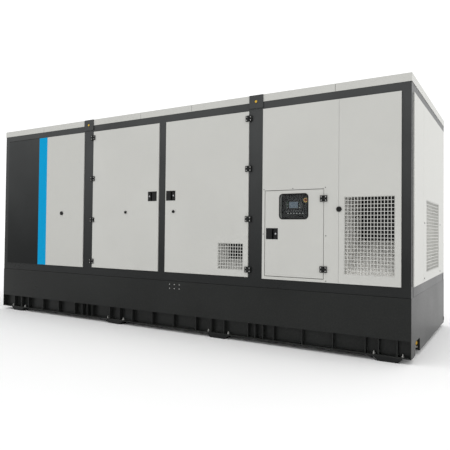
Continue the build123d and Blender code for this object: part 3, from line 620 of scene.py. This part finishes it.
def controller():
    """The control panel on the cabinet, seen through the window of the control door."""
    low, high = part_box("control_window")
    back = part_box("control_cabinet")[0].y
    middle_x, middle_z = (low.x + high.x) / 2, (low.z + high.z) / 2
    module_x, module_z = middle_x - 20 * MM, middle_z - 8 * MM
    face = back - 8 * MM
    front = face - 4 * MM
    bezel, keys, screen, lamps, marks, stop, guard = [bmesh.new() for _ in range(7)]

    for x, z, half_x, half_z, y0, y1, edge in (
        (middle_x, middle_z, 190 * MM, 160 * MM, face, back, 3 * MM),
        (module_x, module_z, 105 * MM, 82 * MM, front, face, 2 * MM),
    ):
        add_block(bezel, (x - half_x, y0, z - half_z), (x + half_x, y1, z + half_z), edge, 2)
    corner = (module_x - 48 * MM, front - MM, module_z - 6 * MM)
    add_block(screen, corner, (module_x + 48 * MM, front + MM, module_z + 58 * MM), 0.5 * MM)

    for column in range(7):
        place = (module_x + (column - 3) * 26 * MM, front, module_z - 38 * MM)
        add_round(keys, cap_head(8 * MM, 2.5 * MM), place, FRONT, 16)
    for column in range(6):
        place = (module_x + (column * 33 - 62) * MM, front, module_z - 62 * MM)
        add_round(marks, cap_head(5 * MM, 1.2 * MM), place, FRONT, 12)
    for row in range(4):
        z = module_z + (row * 18 - 2) * MM
        for side in (-1, 1):
            add_round(keys, cap_head(7 * MM, 2.5 * MM), (module_x + side * 82 * MM, front, z), FRONT, 16)
            lamp = (module_x + side * 66 * MM, front, z)
            add_round(lamps if row % 2 else marks, cap_head(3 * MM, 1.2 * MM), lamp, FRONT, 10)

    place = (middle_x + 112 * MM, face, middle_z + 66 * MM)
    ring = [(24, 0), (24, 1), (23, 1.6), (0, 1.6)]
    mushroom = [(9, 0), (9, 3), (15, 4), (15, 7), (9, 8.4), (0, 8.6)]
    add_round(guard, in_mm(ring), place, FRONT, 28)
    add_round(stop, in_mm(mushroom), place, FRONT)
    for name, bm, finish in (
        ("controller_bezel", bezel, black_plastic),
        ("controller_screen", screen, display),
        ("controller_keys", keys, grey_plastic),
        ("controller_marks", marks, white_plastic),
        ("controller_lamps", lamps, green_plastic),
        ("stop_button_ring", guard, slot_finishes["brass"]),
        ("stop_button", stop, red_plastic),
    ):
        finish_piece(name, bm, finish, "frame")


# Inside the doors


def add_ring(bm, low, high, width):
    """Four strips round a rectangle in the XZ plane."""
    add_block(bm, low, (low[0] + width, high[1], high[2]))
    add_block(bm, (high[0] - width, low[1], low[2]), high)
    add_block(bm, (low[0] + width, low[1], low[2]), (high[0] - width, high[1], low[2] + width))
    add_block(bm, (low[0] + width, low[1], high[2] - width), (high[0] - width, high[1], high[2]))


DOORS = (("door_left", "left_door"), ("door_right", "right_door"), ("control_door", "control_door"))


def door_backs():
    """A rubber seal round the back of each door, and foam on the two large ones."""
    seal_inset, seal_depth, seal_width = 6 * MM, 4 * MM, 14 * MM
    foam_inset, foam_depth = 52 * MM, 18 * MM
    foam_bottoms = {
        "door_left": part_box("door_left")[0].z + foam_inset,
        "door_right": grille_boxes["door_right_grille"][1].z + 25 * MM,
    }
    for name, body in DOORS:
        low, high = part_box(name)
        seal = bmesh.new()
        corner = (low.x + seal_inset, high.y, low.z + seal_inset)
        opposite = (high.x - seal_inset, high.y + seal_depth, high.z - seal_inset)
        add_ring(seal, corner, opposite, seal_width)
        finish_piece(f"{name}_seal", seal, slot_finishes["black_rubber"], body, smooth=False)
        if name in foam_bottoms:
            liner = bmesh.new()
            corner = (low.x + foam_inset, high.y, foam_bottoms[name])
            opposite = (high.x - foam_inset, high.y + foam_depth, high.z - foam_inset)
            add_block(liner, corner, opposite, 5 * MM, 2)
            finish_piece(f"{name}_foam", liner, door_foam, body)


def add_sheet(bm, corners, thickness):
    """A flat sheet through four corners, thickened."""
    sheet = bmesh.new()
    sheet.faces.new([sheet.verts.new(corner) for corner in corners])
    bmesh.ops.recalc_face_normals(sheet, faces=sheet.faces)
    bmesh.ops.solidify(sheet, geom=sheet.faces[:], thickness=thickness)
    add_mesh(bm, sheet)


def add_hood(bm, box, depth, rise, lean):
    """A left wall and a floor that slope inwards, behind a grille's box."""
    low, high = box
    lap, gap, thickness = 3 * MM, 2 * MM, 2 * MM
    x0, x1, z0, z1 = low.x - lap, high.x + lap, low.z - lap, high.z + lap
    y0, y1 = high.y + gap, high.y + depth
    floor = ((x0, y0, z0), (x1, y0, z0), (x1, y1, z0 + rise), (x0, y1, z0 + rise))
    wall = ((x0, y0, z0), (x0, y0, z1), (x0 + lean, y1, z1), (x0 + lean, y1, z0 + rise))
    for corners in (floor, wall):
        add_sheet(bm, corners, thickness)


def grille_hoods():
    """Pale hoods behind the door's grille and the inlet grille, which shield the openings."""
    for name, body, node, depth, rise, lean, finish in (
        ("door_grille_hood", "right_door", "door_right_grille", 150, 120, 62, slot_finishes["light_paint"]),
        ("inlet_grille_hood", "frame", "inlet_grille", 96, 56, 4, lining),
    ):
        bm = bmesh.new()
        add_hood(bm, grille_boxes[node], depth * MM, rise * MM, lean * MM)
        finish_piece(name, bm, finish, body, smooth=False)


def inlet_splitters():
    """Two foam walls in the inlet duct, and pale rounded splitters behind the end grille."""
    slope_low, slope_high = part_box("inlet_baffle")
    grille_low, grille_high = grille_boxes["end_grille_right"]
    x0 = slope_low.x + 30 * MM
    walls, noses = bmesh.new(), bmesh.new()
    for y in (-500 * MM, 720 * MM):
        corner = (x0, y, base_top + 20 * MM)
        add_block(walls, corner, (x0 + 500 * MM, y + 50 * MM, slope_high.z), 12 * MM, 2)
    for index in range(6):
        y = (-300 + index * 185) * MM
        corner = (x0, y, grille_low.z - 30 * MM)
        opposite = (grille_low.x - 56 * MM, y + 60 * MM, grille_high.z + 30 * MM)
        add_block(noses, corner, opposite, 24 * MM, 3)
    finish_piece("inlet_duct_foam", walls, door_foam, "frame")
    finish_piece("inlet_splitters", noses, lining, "frame")


# Seals, painted shadow lines, drain and base end


def bay_panel_seals_and_shadows():
    """A dark rubber lip along the top and the outer side of the panel by the radiator, on both long sides; it
    also paints the shadow in the gap between panel and frame.
    """
    low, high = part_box("radiator_bay_panel")
    gap, lip = MM, 9 * MM
    bm = bmesh.new()
    for side in (-1, 1):
        y0, y1 = sorted((side * (-low.y - 10 * MM), side * (-low.y - 8 * MM)))
        add_block(bm, (low.x - lip, y0, low.z), (low.x - gap, y1, high.z + lip), 0.5 * MM)
        add_block(bm, (low.x - gap, y0, high.z + gap), (STRIPE_OUTER, y1, high.z + lip), 0.5 * MM)
    # The lip is partly a real seal and partly painted shadow in the gap.
    finish_piece("bay_panel_seals_and_shadows", bm, slot_finishes["black_rubber"], "frame", smooth=False)


def joint_shadow_strips():
    """Painted shadow: dark strips between the corner posts and the bottom rails of both ends, where the rail
    is set back from the post.
    """
    end_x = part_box("sill_rails")[1].x
    side_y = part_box("corner_posts")[1].y
    bm = bmesh.new()
    for way in (-1, 1):
        x0, x1 = sorted((way * (end_x - 5 * MM), way * (end_x + 0.6 * MM)))
        for side in (-1, 1):
            y0, y1 = sorted((side * (side_y - 80 * MM), side * (side_y - 102 * MM)))
            add_block(bm, (x0, y0, base_top + 2 * MM), (x1, y1, base_top + 92 * MM), 0.3 * MM)
    # The strips are painted shadow at the step between post and rail, in the rubber finish.
    finish_piece("joint_shadow_strips", bm, slot_finishes["black_rubber"], "frame", smooth=False)


def drain_fittings():
    """A yellow cap on the nozzle of the drain valve, and a zinc plug on a collar below it."""
    low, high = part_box("drain_valve")
    middle = (low.y + high.y) / 2
    cap, plug = bmesh.new(), bmesh.new()
    knob = [(16, 0), (18, 2), (18, 12), (15, 15), (8, 16), (8, 18), (0, 18)]
    add_round(cap, in_mm(knob), (high.x - 18 * MM, middle, low.z + 16 * MM), RIGHT, 20)
    finish_piece("drain_cap", cap, yellow_plastic, "frame")
    place = (high.x - 22 * MM, middle + 4 * MM, low.z - 22 * MM)
    collar = [(15, 0), (15, 6), (11, 8), (11, 9), (0, 9)]
    hexagon = [(9, 8), (9, 20), (7, 22), (0, 22)]
    add_round(plug, in_mm(collar), place, RIGHT, 20)
    add_round(plug, in_mm(hexagon), place, RIGHT, 6)
    finish_piece("drain_plug", plug, zinc_plate, "frame", smooth=False)


def cable_plug():
    """A rubber plug with a rolled rim in the cable hole of the base end."""
    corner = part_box("base_end_right")[1]
    rings = [(27, 0), (28, 2), (27, 4), (22, 4), (20, 1), (6, 1), (5, 2), (0, 2)]
    place = (corner.x - MM, corner.y - 36 * MM, 100 * MM)
    bm = bmesh.new()
    add_round(bm, in_mm(rings), place, RIGHT)
    finish_piece("cable_hole_plug", bm, slot_finishes["black_rubber"], "frame")


# Machinery

CYLINDERS = 6
CYLINDER_PITCH = 225 * MM

engine_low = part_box("engine")[0]
first_cylinder_x = engine_low.x + 50 * MM
crank_z = engine_low.z + 520 * MM
filters_low, filters_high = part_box("air_filters")
turbo_x = filters_low.x - 172 * MM
turbo_z = (filters_low.z + filters_high.z) / 2


def add_pipe(bm, start, way, radius, runs, sides=20):
    """A pipe from a start point: each run is a straight length, then a turn about an axis.

    The turn's angle is in degrees and its bend has a radius of its own.
    """
    way = Vector(way)
    made = bmesh.ops.create_circle(bm, segments=sides, radius=radius)["verts"]
    turn = Vector((0, 0, 1)).rotation_difference(way).to_matrix().to_4x4()
    bmesh.ops.transform(bm, matrix=Matrix.Translation(start) @ turn, verts=made)
    edges = list({line for vert in made for line in vert.link_edges})
    place = Vector(start)
    for length, axis, angle, bend in runs:
        made = bmesh.ops.extrude_edge_only(bm, edges=edges)["geom"]
        verts = [part for part in made if isinstance(part, bmesh.types.BMVert)]
        bmesh.ops.translate(bm, vec=way * length, verts=verts)
        edges = [part for part in made if isinstance(part, bmesh.types.BMEdge)]
        place += way * length
        if angle:
            axis = Vector(axis)
            centre = place + axis.cross(way) * math.copysign(bend, angle)
            last = bmesh.ops.spin(
                bm, geom=edges, cent=centre, axis=axis, angle=math.radians(angle), steps=8
            )["geom_last"]
            edges = [part for part in last if isinstance(part, bmesh.types.BMEdge)]
            swing = Matrix.Rotation(math.radians(angle), 3, axis)
            place = centre + swing @ (place - centre)
            way = swing @ way


def bolt_head(size):
    """The profile of a hexagon head, which is turned with six sides."""
    return [(size, 0), (size, size * 0.6), (size * 0.85, size * 0.7), (0, size * 0.7)]


def crankcase_covers():
    """A row of bolted covers along both sides of the block."""
    half_cover = 85 * MM
    covers, bolts = bmesh.new(), bmesh.new()
    for side in (-1, 1):
        back = side * 310 * MM
        face = back + side * 14 * MM
        y0, y1 = sorted((back, face))
        for index in range(CYLINDERS):
            x = first_cylinder_x + (index + 0.5) * CYLINDER_PITCH
            corner = (x - half_cover, y0, crank_z - 150 * MM)
            add_block(covers, corner, (x + half_cover, y1, crank_z + 120 * MM), 6 * MM, 2)
            for over in (-68 * MM, 68 * MM):
                for rise in (-133 * MM, -15 * MM, 103 * MM):
                    place = (x + over, face, crank_z + rise)
                    add_round(bolts, bolt_head(10 * MM), place, (0, side, 0), 6)
    finish_piece("crankcase_covers", covers, slot_finishes["engine_paint"], "frame")
    finish_piece("crankcase_bolts", bolts, zinc_plate, "frame", smooth=False)


def rocker_bolts():
    """Two bolts on each rocker cover, square to its slope."""
    outward_y, outward_z = 0.812, 0.584
    bm = bmesh.new()
    for side in (-1, 1):
        for index in range(CYLINDERS):
            for over in (42 * MM, 148 * MM):
                x = first_cylinder_x + index * CYLINDER_PITCH + over
                place = (x, side * 423 * MM, crank_z + 495 * MM)
                add_round(bm, bolt_head(13 * MM), place, (0, side * outward_y, outward_z), 6)
    finish_piece("rocker_cover_bolts", bm, zinc_plate, "frame", smooth=False)


def oil_filters():
    """Four canisters under a filter head, on both sides of the block."""
    x0, x1, first, pitch = -0.330, 0.270, -0.255, 0.150
    canister = [(0, -212), (38, -212), (56, -196), (58, -190), (58, -30), (60, -26), (60, -12)]
    canister += [(46, -10), (46, 0)]
    heads, cans = bmesh.new(), bmesh.new()
    for side in (-1, 1):
        y0, y1 = sorted((side * 308 * MM, side * 462 * MM))
        add_block(heads, (x0, y0, crank_z + 122 * MM), (x1, y1, crank_z + 160 * MM), 8 * MM, 2)
        for index in range(4):
            place = (first + index * pitch, side * 395 * MM, crank_z + 124 * MM)
            add_round(cans, in_mm(canister), place, UP, 28)
    finish_piece("oil_filter_heads", heads, slot_finishes["engine_paint"], "frame")
    finish_piece("oil_filters", cans, slot_finishes["black_metal"], "frame")


def air_intake():
    """Ribbed rubber elbows from the air filters to the turbocharger, each with a clamp."""
    rib = [(74, -6), (82, -3), (82, 3), (74, 6)]
    band = [(75, -8), (78, -7), (78, 7), (75, 8)]
    elbows, clamps = bmesh.new(), bmesh.new()
    for side in (-1, 1):
        y = side * 260 * MM
        runs = [(60 * MM, UP, side * 90, 110 * MM), (60 * MM, UP, 0, 0)]
        add_pipe(elbows, (filters_low.x + 2 * MM, y, turbo_z), (-1, 0, 0), 74 * MM, runs, 28)
        for index in range(4):
            place = (filters_low.x - (8 + index * 16) * MM, y, turbo_z)
            add_round(elbows, in_mm(rib), place, RIGHT, 28)
        add_round(clamps, in_mm(band), (turbo_x, side * 108 * MM, turbo_z), (0, 1, 0), 28)
    finish_piece("intake_elbows", elbows, slot_finishes["black_rubber"], "frame")
    finish_piece("intake_clamps", clamps, zinc_plate, "frame")


def turbocharger():
    """A turbocharger on a foot over the vee, and the flanged pipe that leads from it."""
    housing = [(0, -150), (70, -150), (80, -140), (80, -95), (128, -80), (140, -60), (140, -20)]
    housing += [(126, 0), (88, 10), (88, 50), (118, 62), (128, 80), (128, 120), (112, 134), (0, 134)]
    flange = [(62, -9), (84, -8), (84, 8), (62, 9)]
    pipe_start, pipe_end = turbo_x - 148 * MM, -0.880
    turbo, branch = bmesh.new(), bmesh.new()
    add_round(turbo, in_mm(housing), (turbo_x, 0, turbo_z), RIGHT, 36)
    corner = (turbo_x - 60 * MM, -62 * MM, crank_z + 380 * MM)
    add_block(turbo, corner, (turbo_x + 40 * MM, 62 * MM, turbo_z - 70 * MM), 8 * MM, 2)
    finish_piece("turbocharger", turbo, slot_finishes["silencer_steel"], "frame")
    runs = [(pipe_start - pipe_end, UP, 0, 0)]
    add_pipe(branch, (pipe_start, 0, turbo_z), (-1, 0, 0), 62 * MM, runs, 28)
    for x in (pipe_start - 8 * MM, pipe_start - 150 * MM):
        add_round(branch, in_mm(flange), (x, 0, turbo_z), RIGHT, 28)
    finish_piece("exhaust_branch", branch, slot_finishes["silencer_steel"], "frame")


def coolant_pipes():
    """Two painted pipes from the vee over the fan to the head of the radiator, with rubber sleeves."""
    sleeve = [(36, -45), (42, -44), (42, -30), (40, -28), (40, 28), (42, 30), (42, 44), (36, 45)]
    end_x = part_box("radiator")[1].x - 90 * MM
    start_x, start_z = -0.660, crank_z + 440 * MM
    level, bend = 2.135, 90 * MM
    across = (0, 1, 0)
    runs = [(level - bend - start_z, across, -90, bend), (start_x - bend - end_x, across, 0, 0)]
    pipes, joints = bmesh.new(), bmesh.new()
    for side in (-1, 1):
        y = side * 175 * MM
        add_pipe(pipes, (start_x, y, start_z), UP, 36 * MM, runs)
        for x in (end_x + 60 * MM, start_x - bend - 40 * MM):
            add_round(joints, in_mm(sleeve), (x, y, level), RIGHT)
    finish_piece("coolant_pipes", pipes, slot_finishes["engine_paint"], "frame")
    finish_piece("coolant_pipe_sleeves", joints, slot_finishes["black_rubber"], "frame")


def alternator_fittings():
    """Bands and bolts round the alternator, and a lid on its terminal box."""
    low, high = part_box("alternator")
    middle = (low.x + high.x) / 2
    band = [(399, -24), (412, -22), (412, 22), (399, 24)]
    band_bolts = 16
    bands, bolts = bmesh.new(), bmesh.new()
    for x in (low.x + 42 * MM, high.x - 60 * MM):
        add_round(bands, in_mm(band), (x, 0, crank_z), RIGHT, 64)
        for index in range(band_bolts):
            angle = 2 * math.pi * (index + 0.5) / band_bolts
            out = Vector((0, math.cos(angle), math.sin(angle)))
            add_round(bolts, bolt_head(12 * MM), Vector((x, 0, crank_z)) + out * 411 * MM, out, 6)
    corner = (middle - 232 * MM, -247 * MM, high.z - 4 * MM)
    add_block(bands, corner, (middle + 232 * MM, 247 * MM, high.z + 10 * MM), 4 * MM, 2)
    for over in (-205 * MM, 0, 205 * MM):
        for side in (-1, 1):
            place = (middle + over, side * 241 * MM, high.z - 40 * MM)
            add_round(bolts, screw_head(8 * MM, 4 * MM), place, (0, side, 0), 12)
    finish_piece("alternator_bands", bands, slot_finishes["engine_paint"], "frame")
    finish_piece("alternator_bolts", bolts, zinc_plate, "frame", smooth=False)


def cabinet_conduits():
    """Four conduits from the alternator's terminal box round to the back of the control cabinet."""
    low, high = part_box("alternator")
    cabinet_low, cabinet_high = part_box("control_cabinet")
    start_x, start_y, bend = (low.x + high.x) / 2 + 222 * MM, -130 * MM, 90 * MM
    along = cabinet_low.x + 140 * MM - start_x - bend
    across = start_y - bend - cabinet_high.y + 10 * MM
    bm = bmesh.new()
    for index in range(4):
        z = high.z - (70 + index * 44) * MM
        add_pipe(bm, (start_x, start_y, z), RIGHT, 18 * MM, [(along, UP, -90, bend), (across, UP, 0, 0)], 16)
    finish_piece("cabinet_conduits", bm, slot_finishes["black_rubber"], "frame")


def roof_screws():
    """A row of low screws on both sides of each seam of the roof."""
    low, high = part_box("roof_panels")
    margin, count = 80 * MM, 9
    bm = bmesh.new()
    for seam_x in (high.x - 0.722, high.x - 2.445, high.x - 3.216, low.x + 0.854):
        for side in (-22 * MM, 26 * MM):
            for index in range(count):
                y = low.y + margin + index * (high.y - low.y - 2 * margin) / (count - 1)
                add_round(bm, cap_head(9 * MM, 4 * MM), (seam_x + side, y, high.z), UP, 12)
    finish_piece("roof_screws", bm, zinc_plate, "frame")


# Camera, floor and light

CAMERA_PLACE = (3.7553, -5.8317, 1.1935)
CAMERA_YAW, CAMERA_PITCH, CAMERA_ROLL = 0.5371, 0.0200, 0.0101
FOCAL_LENGTH, SENSOR_WIDTH = 39.30, 36
VERTICAL_SHIFT = -0.0076
SKY_STRENGTH = 1.15


def add_camera():
    """The camera of the photo, found by fitting it to the edges of the canopy."""
    data = bpy.data.cameras.new("photo_view")
    data.lens = FOCAL_LENGTH
    data.sensor_width = SENSOR_WIDTH
    data.shift_y = VERTICAL_SHIFT
    camera = bpy.data.objects.new("photo_view", data)
    turn = Matrix.Rotation(CAMERA_YAW, 4, "Z") @ Matrix.Rotation(math.pi / 2 + CAMERA_PITCH, 4, "X")
    place = Matrix.Translation(CAMERA_PLACE)
    camera.matrix_world = place @ turn @ Matrix.Rotation(CAMERA_ROLL, 4, "Z")
    bpy.context.scene.collection.objects.link(camera)
    bpy.context.scene.camera = camera


def add_floor():
    """A wide sheet of white paper under the set."""
    bm = bmesh.new()
    bmesh.ops.create_grid(bm, x_segments=4, y_segments=4, size=60)
    mesh = bpy.data.meshes.new("floor")
    bm.to_mesh(mesh)
    bm.free()
    floor = bpy.data.objects.new("floor", mesh)
    pale = Finish("floor_paper", Roughness=0.9, Specular_IOR_Level=0.2)
    pale.set("Base Color", pale.mix((0.93, 0.93, 0.93), (0.96, 0.96, 0.96), pale.noise(0.4, 2)))
    mesh.materials.append(pale.material)
    bpy.context.scene.collection.objects.link(floor)


def add_light(name, place, target, size, power):
    """A square light at a place, turned towards a target."""
    data = bpy.data.lights.new(name, "AREA")
    data.shape = "SQUARE"
    data.size = size
    data.energy = power
    lamp = bpy.data.objects.new(name, data)
    toward = Vector(target) - Vector(place)
    lamp.matrix_world = Matrix.Translation(place) @ toward.to_track_quat("-Z", "Y").to_matrix().to_4x4()
    bpy.context.scene.collection.objects.link(lamp)


def add_world():
    """An even white sky."""
    world = bpy.data.worlds.new("studio")
    world.use_nodes = True
    back = world.node_tree.nodes["Background"]
    back.inputs["Color"].default_value = (1, 1, 1, 1)
    back.inputs["Strength"].default_value = SKY_STRENGTH
    bpy.context.scene.world = world
    bpy.context.scene.view_settings.view_transform = "Standard"


def set_stage():
    add_camera()
    add_floor()
    add_world()
    add_light("side", place=(12, 1, 3.5), target=(2.9, 0, 1.4), size=5, power=160)


dress_nodes()
for make in (
    make_grilles,
    hinge_screws,
    lock_barrels,
    lifting_plugs,
    base_caps,
    foot_bolts,
    panel_screws,
    controller,
    door_backs,
    grille_hoods,
    inlet_splitters,
    bay_panel_seals_and_shadows,
    joint_shadow_strips,
    drain_fittings,
    cable_plug,
    crankcase_covers,
    rocker_bolts,
    oil_filters,
    air_intake,
    turbocharger,
    coolant_pipes,
    alternator_fittings,
    cabinet_conduits,
    roof_screws,
):
    make()
set_stage()
